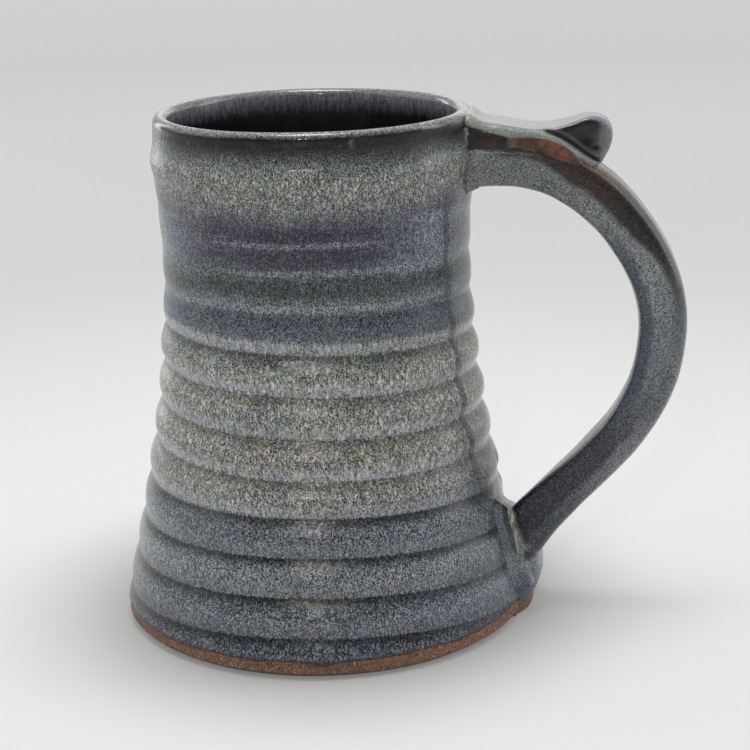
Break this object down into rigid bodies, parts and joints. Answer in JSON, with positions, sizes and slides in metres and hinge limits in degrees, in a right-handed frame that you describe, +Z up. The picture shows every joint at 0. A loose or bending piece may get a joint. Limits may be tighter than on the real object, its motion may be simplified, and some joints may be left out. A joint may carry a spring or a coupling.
{
  "type": "beer stein",
  "caption": "Lidless hand-thrown stoneware beer stein with a waisted ringed body, a strap handle and a rolled thumb rest, glazed in mottled blue-grey.",
  "frame": {"origin": "centre of the flat underside of the foot, on the vessel's axis", "axes": "+Z up along the vessel's axis, +X from the axis towards the handle"},
  "size_m": [0.1623, 0.1176, 0.145],
  "materials": {
    "bare_stoneware": "fired brown stoneware with fine grog, unglazed",
    "outer_glaze": "mottled blue-grey reactive glaze, glossy, breaking brown on edges",
    "liner_glaze": "dark slate liner glaze, glossy",
    "handle_glaze": "speckled slate glaze, glossy, breaking dark brown on corners"
  },
  "bodies": {
    "root": {"thrown_body": "bare_stoneware", "outer_glaze": "outer_glaze", "liner_glaze": "liner_glaze", "handle_strap": "bare_stoneware", "thumb_rest": "bare_stoneware", "upper_joint_coil": "bare_stoneware", "lower_joint_coil": "bare_stoneware", "tail_pad": "bare_stoneware", "handle_glaze": "handle_glaze"}
  },
  "joints": []
}
